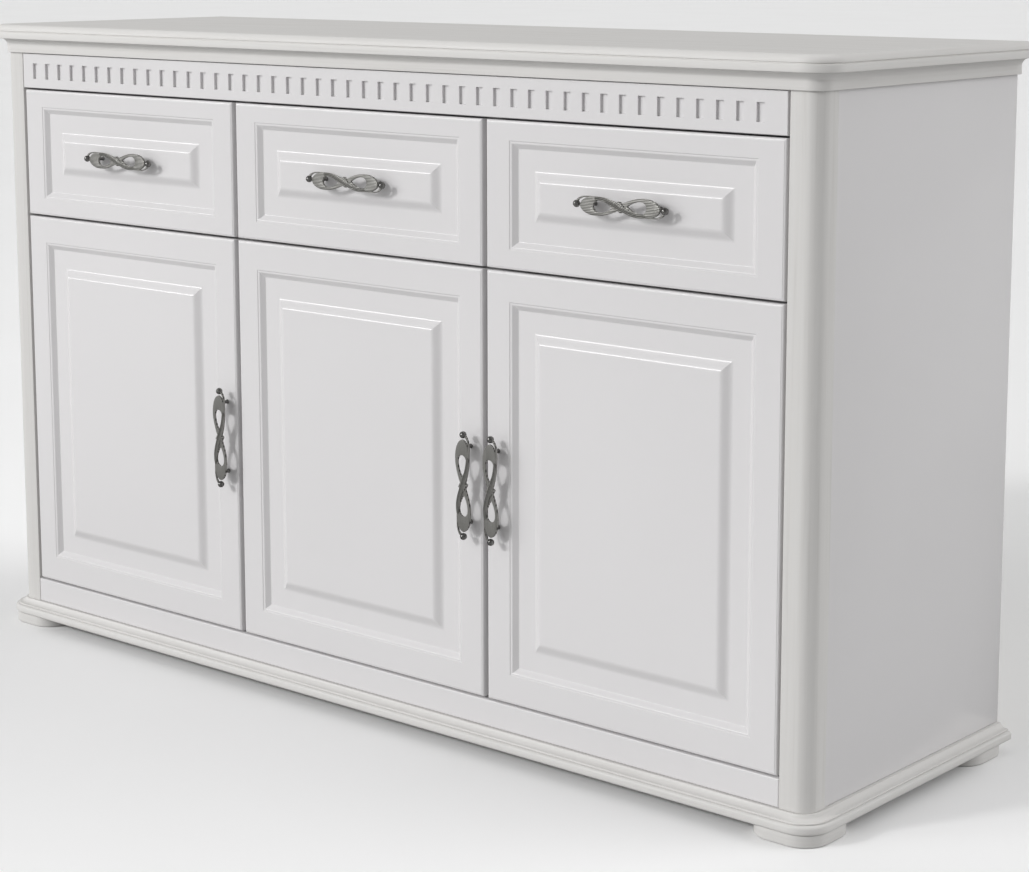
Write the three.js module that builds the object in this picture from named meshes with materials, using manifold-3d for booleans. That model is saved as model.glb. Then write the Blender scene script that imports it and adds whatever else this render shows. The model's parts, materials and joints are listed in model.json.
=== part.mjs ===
// Sideboard buffet: three drawers above three doors, between two rounded corner posts.
// Millimetres. X runs to the right, Y into the cabinet and Z up, with the floor at Z = 0.
// Pieces are laid out with Y = 0 on the door faces, then the whole is centred on its own depth.
import * as THREE from "three";
import { mergeVertices } from "three/addons/utils/BufferGeometryUtils.js";
import Module from "manifold-3d";

const wasm = await Module();
wasm.setup();

// ---- Driving dimensions ---------------------------------------------------------------------
const seam = 0.3;               // clearance between pieces that meet
const openingWidth = 1330;      // between the corner posts
const bodyDepth = 430;          // door faces to the back
const boardThickness = 18;

const footHeight = 15;
const footSize = 95;
const footRadius = 34;
const footSetback = 3;          // inside the edge of the base moulding
const footEdge = 2;             // worn-off edge under the foot
const baseHeight = 20;
const baseOverhang = 19;
const plinthHeight = 34.5;
const doorHeight = 542;
const drawerHeight = 180;
const friezeHeight = 51;
const doorLowerGap = 2.5;
const doorUpperGap = 3;
const drawerUpperGap = 2;
const corniceHeight = 20;
const topHeight = 20;

const postWidth = 40;
const postDepth = 35;
const postRadius = 19;
const panelRecess = 1;          // side panels lie this far inside the posts
const battenDepth = 60;         // hinge batten behind each post
const backThickness = 4;
const innerFront = 26;          // front edges of the boards behind the doors
const shelfThickness = 16;
const shelfSetback = 2;         // shelf behind the hinge battens
const shelfPlay = 0.5;

const endGap = 4;               // fronts to posts
const middleGap = 7;            // front to front
const frontThickness = 18;
const frontEdge = 2.8;          // width of the eased front edge
const frontEdgeDepth = 2;
const doorBorder = 38;          // flat frame at a door's edges and a drawer's ends
const drawerBorder = 24.5;      // flat frame at a drawer's top and bottom
const stepWidth = 3;
const stepDepth = 0.8;
const slopeWidth = 6;
const recessDepth = 6.5;
const recessWidth = 23;
const bevelWidth = 16.5;

const slotCount = 47;
const slotPitch = 27.45;
const slotWidth = 10.8;
const slotHeight = 22;
const slotDepth = 6;
const slotStart = 23;           // first slot from the left end of the opening
const slotDrop = 15;            // slots below the top of the frieze
const friezeRightGap = 2;
const stripEdge = 1.6;          // eased edges of frieze and plinth rail

const topOverhang = 20;
const topRound = 9;
const topBead = 1.6;
const topFascia = 9.5;
const corniceNeck = 4;
const corniceNeckHeight = 10;
const corniceCove = 9.5;

const handlePosts = 96;         // between post centres
const handleBalls = 128.8;      // between ball centres
const handleBall = 4.4;         // radii
const handlePost = 2.3;
const handlePlate = 3;
const handleProud = 15;         // plate's middle in front of the door
const collarWidth = 8.5;
const collarLength = 15.5;
const collarThickness = 5;
const collarTilt = 17;          // degrees

const pivotInset = 12;          // hinge pin from the door's edge
const pivotDepth = 10;          // hinge pin behind the door's face
const cupInset = 22.5;
const cupBore = 17.5;           // radii
const cupBoreDepth = 12.3;
const cupWall = 0.8;
const pinRadius = 1.2;
const barrelRadius = 2.7;
const barrelPlay = 0.3;
const hingeEnd = 90;            // hinge centre from the door's top and bottom
const armWidth = 16;
const armThickness = 3;
const armReach = 11;            // pin to the arm's upright
const armBridge = 17.5;         // pin to the arm's bridge
const armTail = 75;
const plateStart = 30;
const plateLength = 50;
const plateWidth = 44;
const plateThickness = 2.5;

const drawerInset = 9;          // drawer box inside its front
const drawerLift = 14;          // drawer box above the front's lower edge
const drawerBoxHeight = 140;
const drawerBoxDepth = 390;
const drawerWall = 15;
const drawerBottom = 4;
const drawerBottomLift = 10;
const drawerBottomGroove = 6;
const runnerHeight = 16;
const runnerGroove = 8;
const runnerLift = 62;          // groove's middle above the box's lower edge
const runnerPlay = 0.5;
const runnerFront = 100;
const runnerLength = 320;

// ---- Positions worked out from them ---------------------------------------------------------
const openingHalf = openingWidth / 2;
const bodyHalf = openingHalf + postWidth;
const panelOuter = bodyHalf - panelRecess;
const panelInner = panelOuter - boardThickness;
const battenBack = postDepth + seam + battenDepth;
const backFace = bodyDepth - backThickness - seam;

const baseTop = footHeight + baseHeight;
const plinthTop = baseTop + plinthHeight;
const doorBottom = plinthTop + doorLowerGap;
const doorTop = doorBottom + doorHeight;
const drawerBottomZ = doorTop + doorUpperGap;
const friezeBottom = drawerBottomZ + drawerHeight + drawerUpperGap;
const bodyTop = friezeBottom + friezeHeight;
const corniceTop = bodyTop + corniceHeight;

const frontWidth = (openingWidth - 2 * endGap - 2 * middleGap) / 3;
const frontLeft = (bay) => -openingHalf + endGap + bay * (frontWidth + middleGap);
const frontCentre = (bay) => frontLeft(bay) + frontWidth / 2;
const bayLine = (bay) => frontLeft(bay) - middleGap / 2;
const dividerMiddle = (doorTop + drawerBottomZ) / 2;
const dividerBottom = dividerMiddle - boardThickness / 2;
const dividerTop = dividerMiddle + boardThickness / 2;
const shelfBottom = (plinthTop + dividerBottom - shelfThickness) / 2;
const doorNames = ["left", "middle", "right"];

// ---- Materials ------------------------------------------------------------------------------
const finish = (color, roughness, metalness) =>
  new THREE.MeshStandardMaterial({ color, roughness, metalness });
const smoothWhite = finish(0xdddbdc, 0.45, 0);
const grainedWhite = finish(0xd2d0cb, 0.5, 0);
const innerWhite = finish(0xd8d6d4, 0.6, 0);
const hardboard = finish(0xcfc9be, 0.8, 0);
const beech = finish(0xc8a878, 0.7, 0);
const pewter = finish(0x77756f, 0.35, 0.9);
const nickel = finish(0xb8b8b6, 0.3, 0.9);

// ---- Geometry helpers -----------------------------------------------------------------------
const piece = (name, geometry, material) => {
  const mesh = new THREE.Mesh(geometry, material);
  mesh.name = name;
  return mesh;
};

const box = ([x0, x1], [y0, y1], [z0, z1]) => {
  const geometry = new THREE.BoxGeometry(x1 - x0, y1 - y0, z1 - z0);
  return geometry.translate((x0 + x1) / 2, (y0 + y1) / 2, (z0 + z1) / 2);
};

// A cylinder along Y or Z, given its middle.
const rod = (axis, radius, length, [x, y, z], sides = 24) => {
  const geometry = new THREE.CylinderGeometry(radius, radius, length, sides);
  if (axis === "z") geometry.rotateX(Math.PI / 2);
  return geometry.translate(x, y, z);
};

const solid = (geometry) => {
  const bare = geometry.clone();
  bare.deleteAttribute("normal");
  bare.deleteAttribute("uv");
  const merged = mergeVertices(bare, 1e-4);
  return new wasm.Manifold(
    new wasm.Mesh({
      numProp: 3,
      vertProperties: new Float32Array(merged.attributes.position.array),
      triVerts: new Uint32Array(merged.index.array),
    })
  );
};

const surface = (manifold) => {
  const mesh = manifold.getMesh();
  const geometry = new THREE.BufferGeometry();
  geometry.setAttribute("position", new THREE.BufferAttribute(new Float32Array(mesh.vertProperties), 3));
  geometry.setIndex(new THREE.BufferAttribute(new Uint32Array(mesh.triVerts), 1));
  geometry.computeVertexNormals();
  return geometry;
};

const joined = (geometries) => surface(geometries.map(solid).reduce((sum, part) => sum.add(part)));
const cut = (geometry, tools) =>
  surface(tools.map(solid).reduce((rest, tool) => rest.subtract(tool), solid(geometry)));

// A closed skin over rings of equally many points, with flat ends. Each ring runs anticlockwise
// as seen from the end where the skin finishes.
const skin = (rings) => {
  const count = rings[0].length;
  const last = (rings.length - 1) * count;
  const index = [];
  for (let r = 0; r < rings.length - 1; r++) {
    for (let i = 0; i < count; i++) {
      const a = r * count + i;
      const b = r * count + ((i + 1) % count);
      index.push(a, b, b + count, a, b + count, a + count);
    }
  }
  for (let i = 1; i < count - 1; i++) {
    index.push(0, i + 1, i);
    index.push(last, last + i, last + i + 1);
  }
  const geometry = new THREE.BufferGeometry();
  const points = new Float32Array(rings.flat(2));
  geometry.setAttribute("position", new THREE.BufferAttribute(points, 3));
  geometry.setIndex(index);
  geometry.computeVertexNormals();
  return geometry;
};

const arc = (centre, radius, from, to, steps = 6) =>
  Array.from({ length: steps + 1 }, (_, i) => {
    const angle = THREE.MathUtils.degToRad(from + ((to - from) * i) / steps);
    return [centre[0] + radius * Math.cos(angle), centre[1] + radius * Math.sin(angle)];
  });

const extruded = (outline, height) => {
  const shape = new THREE.Shape(outline.map(([x, y]) => new THREE.Vector2(x, y)));
  return new THREE.ExtrudeGeometry(shape, { depth: height, bevelEnabled: false });
};

// ---- Boards with a moulded edge ------------------------------------------------------------
// The plan of a board that reaches past the posts at the front and sides, flush at the back.
const mouldedPlan = (overhang, z) => {
  const x = bodyHalf + overhang;
  const radius = postRadius + overhang;
  const y = -overhang;
  return [
    ...arc([-x + radius, y + radius], radius, 180, 270),
    ...arc([x - radius, y + radius], radius, 270, 360),
    [x, bodyDepth],
    [-x, bodyDepth],
  ].map(([px, py]) => [px, py, z]);
};

const mouldedBoard = (profile) => skin(profile.map(([overhang, z]) => mouldedPlan(overhang, z)));

const topBoard = () => {
  const bottom = corniceTop + seam;
  const roundBase = corniceTop + topHeight - topRound;
  const inner = topOverhang - topBead - topRound;
  return mouldedBoard([
    [topOverhang, bottom],
    [topOverhang, corniceTop + topFascia],
    [topOverhang - topBead, roundBase],
    ...arc([inner, roundBase], topRound, 15, 90, 5),
  ]);
};

const corniceMoulding = () => {
  const coveBase = bodyTop + corniceNeckHeight;
  return mouldedBoard([
    [corniceNeck, bodyTop],
    ...arc([corniceNeck + corniceCove, coveBase], corniceCove, 180, 90),
    [corniceNeck + corniceCove, corniceTop],
  ]);
};

const baseMoulding = () => {
  const step = baseHeight / 20;
  return mouldedBoard([
    [baseOverhang - 3, footHeight],
    [baseOverhang - 1, footHeight + 1 * step],
    [baseOverhang, footHeight + 3.5 * step],
    [baseOverhang, footHeight + 9 * step],
    [baseOverhang - 2, footHeight + 11 * step],
    [baseOverhang - 4.5, footHeight + 11.5 * step],
    [baseOverhang - 5, footHeight + 13 * step],
    [baseOverhang - 8, footHeight + 14.5 * step],
    [baseOverhang - 13, footHeight + 16 * step],
    [baseOverhang - 16, footHeight + 18.5 * step],
    [baseOverhang - 16.5, baseTop],
  ]);
};

// ---- Carcass -------------------------------------------------------------------------------
const cornerPost = (side) => {
  const outline = [
    [openingHalf, 0],
    ...arc([bodyHalf - postRadius, postRadius], postRadius, 270, 360, 8),
    [bodyHalf, postDepth],
    [openingHalf, postDepth],
  ].map(([x, y]) => [side * x, y]);
  return extruded(outline, bodyTop - baseTop - 2 * seam).translate(0, 0, baseTop + seam);
};

const sideBoard = (side, [inner, outer], depths, heights) =>
  box([side * inner, side * outer].sort((a, b) => a - b), depths, heights);

const foot = (side, front) => {
  const reach = baseOverhang - footSetback;
  const outer = bodyHalf + reach;
  const middleX = side * (outer - footSize / 2);
  const middleY = front ? footSize / 2 - reach : bodyDepth - footSize / 2;
  const plan = (shrink, z) => {
    const radius = footRadius - shrink;
    const half = footSize / 2 - footRadius;
    return [
      ...arc([middleX - half, middleY - half], radius, 180, 270),
      ...arc([middleX + half, middleY - half], radius, 270, 360),
      ...arc([middleX + half, middleY + half], radius, 0, 90),
      ...arc([middleX - half, middleY + half], radius, 90, 180),
    ].map(([x, y]) => [x, y, z]);
  };
  return skin([plan(footEdge, 0), plan(0, footEdge), plan(0, footHeight - seam)]);
};

// A board inside the carcass. Beside a post or batten its front corner is notched.
const innerBoard = ([left, right], [front, notch], bottom, thickness) => {
  const outline = [];
  const narrowLeft = Math.max(left, -openingHalf + seam);
  const narrowRight = Math.min(right, openingHalf - seam);
  if (narrowLeft > left) outline.push([left, backFace], [left, notch], [narrowLeft, notch]);
  else outline.push([left, backFace]);
  outline.push([narrowLeft, front], [narrowRight, front]);
  if (narrowRight < right) outline.push([narrowRight, notch], [right, notch]);
  outline.push([right, backFace]);
  return extruded(outline, thickness).translate(0, 0, bottom);
};

const upright = (x, bottom) =>
  box(
    [x - boardThickness / 2, x + boardThickness / 2],
    [innerFront, backFace],
    [bottom + seam, bodyTop - seam]
  );

// ---- Fronts --------------------------------------------------------------------------------
// A rectangle ring in the plane of the fronts, running so that its skin faces the room.
const frontRing = ([x0, x1], [z0, z1], insetX, insetZ, y) => [
  [x0 + insetX, y, z0 + insetZ],
  [x1 - insetX, y, z0 + insetZ],
  [x1 - insetX, y, z1 - insetZ],
  [x0 + insetX, y, z1 - insetZ],
];

const easedStrip = (widths, heights, edge) =>
  skin([
    frontRing(widths, heights, 0, 0, boardThickness),
    frontRing(widths, heights, 0, 0, edge),
    frontRing(widths, heights, edge, edge, 0),
  ]);

const panelledFront = (widths, heights, borderX, borderZ) => {
  const ring = (inset, y) => frontRing(widths, heights, borderX + inset, borderZ + inset, y);
  const slopeEnd = stepWidth + slopeWidth;
  return skin([
    frontRing(widths, heights, 0, 0, frontThickness),
    frontRing(widths, heights, 0, 0, frontEdgeDepth),
    frontRing(widths, heights, frontEdge, frontEdge, 0),
    ring(0, 0),
    ring(stepWidth, stepDepth),
    ring(slopeEnd, recessDepth),
    ring(slopeEnd + recessWidth, recessDepth),
    ring(slopeEnd + recessWidth + bevelWidth, 0),
  ]);
};

const hingeHeights = [
  ["lower", doorBottom + hingeEnd],
  ["upper", doorTop - hingeEnd],
];

const door = (bay, hand) => {
  const left = frontLeft(bay);
  const right = left + frontWidth;
  const edge = hand > 0 ? left : right;
  const boreMiddle = frontThickness - cupBoreDepth / 2 + seam;
  const bores = hingeHeights.map(([, z]) =>
    rod("y", cupBore, cupBoreDepth + 2 * seam, [edge + hand * cupInset, boreMiddle, z], 32)
  );
  return cut(panelledFront([left, right], [doorBottom, doorTop], doorBorder, doorBorder), bores);
};

// ---- Concealed hinge -----------------------------------------------------------------------
// The cup is let into the door and carries the pin. The arm stands on the carcass, reaches into
// the cup and hooks round the pin. hand is 1 for a door hinged at its left edge, else -1.
const hingeCup = (edge, hand, z) => {
  const outer = cupBore - seam;
  const floor = frontThickness - cupBoreDepth + seam;
  const depth = frontThickness - floor;
  const middle = [edge + hand * cupInset, floor + depth / 2, z];
  const hollow = rod("y", outer - cupWall, depth, [middle[0], middle[1] + cupWall, z], 32);
  const shell = cut(rod("y", outer, depth, middle, 32), [hollow]);
  const chord = Math.sqrt((outer - cupWall / 4) ** 2 - (cupInset - pivotInset + pinRadius) ** 2);
  const pin = rod("z", pinRadius, 2 * chord, [edge + hand * pivotInset, pivotDepth, z], 12);
  return joined([shell, pin]);
};

const hingeArm = (edge, hand, faceX, z) => {
  const pinX = edge + hand * pivotInset;
  const face = hand * (faceX - pinX) + seam;
  const root = face + plateThickness / 2;
  const half = armThickness / 2;
  const outline = [
    [root, armBridge],
    [armReach, armBridge],
    [armReach, half],
    [0, half],
    [0, -half],
    [armReach + armThickness, -half],
    [armReach + armThickness, armBridge + armThickness],
    [face + plateThickness + armThickness, armBridge + armThickness],
    [face + plateThickness + armThickness, armTail],
    [root, armTail],
  ].map(([x, y]) => [pinX + hand * x, pivotDepth + y]);
  const strap = extruded(outline, armWidth).translate(0, 0, z - armWidth / 2);
  const plateSpan = [pinX + hand * face, pinX + hand * (face + plateThickness)];
  const plateFront = pivotDepth + plateStart;
  const plate = box(
    plateSpan.sort((a, b) => a - b),
    [plateFront, plateFront + plateLength],
    [z - plateWidth / 2, z + plateWidth / 2]
  );
  const barrel = rod("z", barrelRadius, armWidth, [pinX, pivotDepth, z], 16);
  const bore = rod("z", pinRadius + barrelPlay, armWidth + 2, [pinX, pivotDepth, z], 16);
  return cut(joined([strap, plate, barrel]), [bore]);
};

// ---- Handle --------------------------------------------------------------------------------
// A ribbon in a figure of eight: two leaf shapes with teardrop openings, a thin tail curling to
// a ball at each end, a collar over the crossing and two posts to the front.
const leafShape = () => {
  const leaf = new THREE.Shape();
  leaf.moveTo(-58.5, -0.8);
  leaf.bezierCurveTo(-57.5, -8.5, -46, -12.3, -35, -12.3);
  leaf.bezierCurveTo(-22, -12.3, -12, -8, 2, -2.2);
  leaf.lineTo(2, 2.2);
  leaf.bezierCurveTo(-10, 7, -24, 10.2, -38, 10.2);
  leaf.bezierCurveTo(-48, 10.2, -57.5, 6, -58.5, -0.8);
  const opening = new THREE.Path();
  opening.moveTo(-38.7, -1.5);
  opening.bezierCurveTo(-38.7, -6.5, -33.5, -8.6, -28, -8);
  opening.bezierCurveTo(-22, -7.3, -15, -4.5, -11.3, -1.6);
  opening.bezierCurveTo(-16, 2, -23, 5.8, -29, 5.9);
  opening.bezierCurveTo(-35, 6, -38.7, 2.8, -38.7, -1.5);
  leaf.holes.push(opening);
  return leaf;
};

const tailShape = () => {
  const tail = new THREE.Shape();
  tail.moveTo(-65.5, 1);
  tail.bezierCurveTo(-64, 8, -56, 11.4, -40, 10.2);
  tail.lineTo(-42, 8.6);
  tail.bezierCurveTo(-55, 9.8, -61.5, 6, -63.2, 0.5);
  return tail;
};

const handle = () => {
  const flat = (shape) =>
    new THREE.ExtrudeGeometry(shape, { depth: handlePlate, bevelEnabled: false, curveSegments: 7 })
      .translate(0, 0, -handlePlate / 2)
      .rotateX(Math.PI / 2);
  const leaf = flat(leafShape());
  const tail = flat(tailShape());
  const collar = new THREE.BoxGeometry(collarWidth, collarThickness, collarLength);
  collar.rotateY(THREE.MathUtils.degToRad(-collarTilt));
  const parts = [leaf, tail, leaf.clone().rotateY(Math.PI), tail.clone().rotateY(Math.PI), collar];
  for (const side of [-1, 1]) {
    parts.push(new THREE.SphereGeometry(handleBall, 12, 8).translate((side * handleBalls) / 2, 0, 0));
    const length = handleProud - seam;
    parts.push(rod("y", handlePost, length, [(side * handlePosts) / 2, length / 2, 0], 12));
  }
  return joined(parts);
};

const placedHandle = (name, x, z, turned) => {
  const mesh = piece(name, handle(), pewter);
  if (turned) mesh.rotation.y = Math.PI / 2;
  mesh.position.set(x, -handleProud, z);
  return mesh;
};

// ---- Drawer --------------------------------------------------------------------------------
const runnerZ = drawerBottomZ + drawerLift + runnerLift;

// Sides and back in one, grooved inside for the bottom and outside for the runners.
const drawerWrap = (bay) => {
  const left = frontLeft(bay) + drawerInset;
  const right = frontLeft(bay) + frontWidth - drawerInset;
  const front = frontThickness + seam;
  const back = front + drawerBoxDepth;
  const bottom = drawerBottomZ + drawerLift;
  const outline = [
    [left, front],
    [left + drawerWall, front],
    [left + drawerWall, back - drawerWall],
    [right - drawerWall, back - drawerWall],
    [right - drawerWall, front],
    [right, front],
    [right, back],
    [left, back],
  ];
  const wrap = extruded(outline, drawerBoxHeight).translate(0, 0, bottom);
  const inner = drawerWall - drawerBottomGroove;
  const floor = bottom + drawerBottomLift;
  const floorGroove = box(
    [left + inner, right - inner],
    [front - 1, back - inner],
    [floor - seam, floor + drawerBottom + seam]
  );
  const heights = [runnerZ - runnerHeight / 2 - runnerPlay, runnerZ + runnerHeight / 2 + runnerPlay];
  const leftGroove = box([left - 1, left + runnerGroove], [front - 1, back + 1], heights);
  const rightGroove = box([right - runnerGroove, right + 1], [front - 1, back + 1], heights);
  return cut(wrap, [floorGroove, leftGroove, rightGroove]);
};

const drawerFloor = (bay) => {
  const inset = drawerInset + drawerWall - drawerBottomGroove + seam;
  const left = frontLeft(bay) + inset;
  const right = frontLeft(bay) + frontWidth - inset;
  const back = frontThickness + drawerBoxDepth - drawerWall + drawerBottomGroove;
  const floor = drawerBottomZ + drawerLift + drawerBottomLift;
  return box([left, right], [frontThickness + seam, back], [floor, floor + drawerBottom]);
};

// A strip on the carcass wall that the drawer's groove slides along.
const runner = (bay, hand) => {
  const grooveFace = drawerInset + runnerGroove - seam;
  const edge = hand > 0 ? frontLeft(bay) : frontLeft(bay) + frontWidth;
  const outside = hand > 0 ? bay === 0 : bay === 2;
  const line = bayLine(hand > 0 ? bay : bay + 1);
  const wall = outside ? -hand * panelInner : line + (hand * boardThickness) / 2;
  const span = [wall + hand * seam, edge + hand * grooveFace];
  return box(
    span.sort((a, b) => a - b),
    [runnerFront, runnerFront + runnerLength],
    [runnerZ - runnerHeight / 2, runnerZ + runnerHeight / 2]
  );
};

// ---- Assembly ------------------------------------------------------------------------------
const cabinet = new THREE.Group();
const bodyHeights = [baseTop + seam, bodyTop - seam];

for (const [name, side] of [["left", -1], ["right", 1]]) {
  cabinet.add(piece(`corner_post_${name}`, cornerPost(side), grainedWhite));
  const panel = sideBoard(side, [panelInner, panelOuter], [postDepth + seam, bodyDepth], bodyHeights);
  cabinet.add(piece(`side_panel_${name}`, panel, smoothWhite));
  const battenFaces = [openingHalf, panelInner - seam];
  const battenHeights = [plinthTop + seam, bodyTop - seam];
  const batten = sideBoard(side, battenFaces, [postDepth + seam, battenBack], battenHeights);
  cabinet.add(piece(`hinge_batten_${name}`, batten, innerWhite));
  cabinet.add(piece(`foot_front_${name}`, foot(side, true), grainedWhite));
  cabinet.add(piece(`foot_back_${name}`, foot(side, false), grainedWhite));
}

const wall = panelInner - seam;
const fullPartition = bayLine(1);
const shortPartition = bayLine(2);
const leftBay = [-wall, fullPartition - boardThickness / 2 - seam];
const rightBay = [fullPartition + boardThickness / 2 + seam, wall];
const bottomDepths = [boardThickness + seam, postDepth + seam];
const dividerDepths = [innerFront, battenBack + seam];
const friezeSpan = [-openingHalf + seam, openingHalf - friezeRightGap];
const friezeHeights = [friezeBottom, bodyTop - seam];
const plinthSpan = [-openingHalf + seam, openingHalf - seam];
const plinthHeights = [baseTop + seam, plinthTop];
const backSpan = [-wall, wall];

const slots = Array.from({ length: slotCount }, (_, i) => {
  const left = -openingHalf + slotStart + i * slotPitch;
  return box([left, left + slotWidth], [-1, slotDepth], [bodyTop - slotDrop - slotHeight, bodyTop - slotDrop]);
});

const bottomPanel = innerBoard([-wall, wall], bottomDepths, plinthTop - boardThickness, boardThickness);
const frieze = cut(easedStrip(friezeSpan, friezeHeights, stripEdge), slots);

cabinet.add(
  piece("base_moulding", baseMoulding(), grainedWhite),
  piece("plinth_rail", easedStrip(plinthSpan, plinthHeights, stripEdge), smoothWhite),
  piece("bottom_panel", bottomPanel, innerWhite),
  piece("partition_full", upright(fullPartition, plinthTop), innerWhite),
  piece("partition_short", upright(shortPartition, dividerTop), innerWhite),
  piece("divider_left", innerBoard(leftBay, dividerDepths, dividerBottom, boardThickness), innerWhite),
  piece("divider_right", innerBoard(rightBay, dividerDepths, dividerBottom, boardThickness), innerWhite),
  piece("back_panel", box(backSpan, [bodyDepth - backThickness, bodyDepth], bodyHeights), hardboard),
  piece("frieze", frieze, smoothWhite),
  piece("cornice_moulding", corniceMoulding(), grainedWhite),
  piece("top_board", topBoard(), grainedWhite)
);

for (const [name, [left, right]] of [["left", leftBay], ["right", rightBay]]) {
  const shelf = box(
    [left + shelfPlay, right - shelfPlay],
    [battenBack + shelfSetback, backFace],
    [shelfBottom, shelfBottom + shelfThickness]
  );
  cabinet.add(piece(`shelf_${name}`, shelf, innerWhite));
}

// Doors: the left and middle ones hinge at their left edges, the right one at its right edge.
const hands = [1, 1, -1];
const hingeFaces = [-openingHalf, fullPartition + boardThickness / 2, openingHalf];

doorNames.forEach((name, bay) => {
  const hand = hands[bay];
  const hingeEdge = hand > 0 ? frontLeft(bay) : frontLeft(bay) + frontWidth;
  const freeEdge = hand > 0 ? frontLeft(bay) + frontWidth : frontLeft(bay);
  cabinet.add(piece(`door_${name}`, door(bay, hand), smoothWhite));
  for (const [height, z] of hingeHeights) {
    const arm = hingeArm(hingeEdge, hand, hingeFaces[bay], z);
    cabinet.add(piece(`hinge_cup_${name}_${height}`, hingeCup(hingeEdge, hand, z), nickel));
    cabinet.add(piece(`hinge_arm_${name}_${height}`, arm, nickel));
  }
  const handleX = freeEdge - (hand * doorBorder) / 2;
  cabinet.add(placedHandle(`door_handle_${name}`, handleX, (doorBottom + doorTop) / 2, true));

  const span = [frontLeft(bay), frontLeft(bay) + frontWidth];
  const heights = [drawerBottomZ, drawerBottomZ + drawerHeight];
  const front = panelledFront(span, heights, doorBorder, drawerBorder);
  cabinet.add(piece(`drawer_front_${name}`, front, smoothWhite));
  cabinet.add(piece(`drawer_wrap_${name}`, drawerWrap(bay), innerWhite));
  cabinet.add(piece(`drawer_bottom_${name}`, drawerFloor(bay), innerWhite));
  const drawerMiddle = drawerBottomZ + drawerHeight / 2;
  cabinet.add(placedHandle(`drawer_handle_${name}`, frontCentre(bay), drawerMiddle, false));
  cabinet.add(piece(`runner_${name}_a`, runner(bay, 1), beech));
  cabinet.add(piece(`runner_${name}_b`, runner(bay, -1), beech));
});

const frontReach = Math.max(topOverhang, baseOverhang, handleProud + handleBall);
cabinet.position.y = -(bodyDepth - frontReach) / 2;

export default cabinet;
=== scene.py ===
# %% [markdown]
# # A white sideboard
# A sideboard is a box of boards with fronts that move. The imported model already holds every
# board, door, drawer and hinge in its true place, so each lesson here takes one kind of piece
# and gives it the surface that the real one has: the mitred profile of a pressed door, a
# moulding run on a router, a brushed ribbon handle. All lengths are in metres.

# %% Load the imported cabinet
import json
import math

import bmesh
import bpy
from mathutils import Matrix, Vector


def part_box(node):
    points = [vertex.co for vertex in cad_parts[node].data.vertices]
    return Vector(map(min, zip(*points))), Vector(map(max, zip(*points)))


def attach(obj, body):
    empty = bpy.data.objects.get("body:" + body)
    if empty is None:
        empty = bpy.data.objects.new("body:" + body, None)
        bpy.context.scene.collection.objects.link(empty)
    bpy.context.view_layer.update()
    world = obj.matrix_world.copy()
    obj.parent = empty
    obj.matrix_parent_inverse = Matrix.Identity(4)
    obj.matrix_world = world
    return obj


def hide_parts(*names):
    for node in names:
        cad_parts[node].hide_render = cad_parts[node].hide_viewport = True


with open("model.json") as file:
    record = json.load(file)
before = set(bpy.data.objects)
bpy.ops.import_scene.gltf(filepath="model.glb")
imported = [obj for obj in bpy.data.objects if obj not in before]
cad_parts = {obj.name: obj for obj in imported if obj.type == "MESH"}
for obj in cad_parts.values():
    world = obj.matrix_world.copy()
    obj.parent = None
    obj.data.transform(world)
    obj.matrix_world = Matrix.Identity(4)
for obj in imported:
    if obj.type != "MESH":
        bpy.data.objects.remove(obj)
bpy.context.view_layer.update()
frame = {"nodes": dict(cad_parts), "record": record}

nodes = frame["nodes"]
bodies = frame["record"]["behaviour"]["bodies"]
body_of = {node: body for body, members in bodies.items() for node in members}
slot_of = {row["node"]: row["material_slot"] for row in frame["record"]["subparts"]}
mm = 0.001
bays = ["left", "middle", "right"]

# %% [markdown]
# ## Where the viewer stands
# Furniture is usually shown from one front corner, a little above the top, with a long lens so
# that its sides hardly converge. A small downward shift of the lens, as on a view camera, lets
# the camera tilt less, so the posts stay nearly upright in the view.

# %% Camera
camera = bpy.data.objects.new("camera", bpy.data.cameras.new("camera"))
bpy.context.scene.collection.objects.link(camera)
bpy.context.scene.camera = camera
camera_tilt = math.radians(8.94)
camera_turn = math.radians(40.27)
camera.location = (2.117, -2.352, 1.011)
camera.rotation_euler = (math.pi / 2 - camera_tilt, 0, camera_turn)
camera.data.lens = 83.0
camera.data.shift_x = -0.0172
camera.data.shift_y = -0.12
camera.data.clip_end = 800
print("camera at", [round(v, 2) for v in camera.location])

# %% [markdown]
# ## Laying out a material
# Every finish here is a Principled shader with noise driving three things: a slight change of
# colour, a slight change of roughness, and a very fine bump. A small helper places the nodes, so
# that each finish below reads as a short list of what the real surface does.

# %% Helpers for finishes
def new_finish(name, roughness, metallic=0.0, specular=0.5):
    finish = bpy.data.materials.new(name)
    finish.use_nodes = True
    shader = finish.node_tree.nodes["Principled BSDF"]
    shader.inputs["Roughness"].default_value = roughness
    shader.inputs["Metallic"].default_value = metallic
    shader.inputs["Specular IOR Level"].default_value = specular
    return finish, finish.node_tree, shader


def pattern_coordinates(tree, stretch, source="Object"):
    where = tree.nodes.new("ShaderNodeTexCoord")
    mapping = tree.nodes.new("ShaderNodeMapping")
    mapping.inputs["Scale"].default_value = stretch
    tree.links.new(where.outputs[source], mapping.inputs["Vector"])
    return mapping.outputs["Vector"]


def noise(tree, vector, scale, detail=3.0, roughness=0.5):
    texture = tree.nodes.new("ShaderNodeTexNoise")
    texture.inputs["Scale"].default_value = scale
    texture.inputs["Detail"].default_value = detail
    texture.inputs["Roughness"].default_value = roughness
    tree.links.new(vector, texture.inputs["Vector"])
    return texture.outputs["Fac"]


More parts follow.
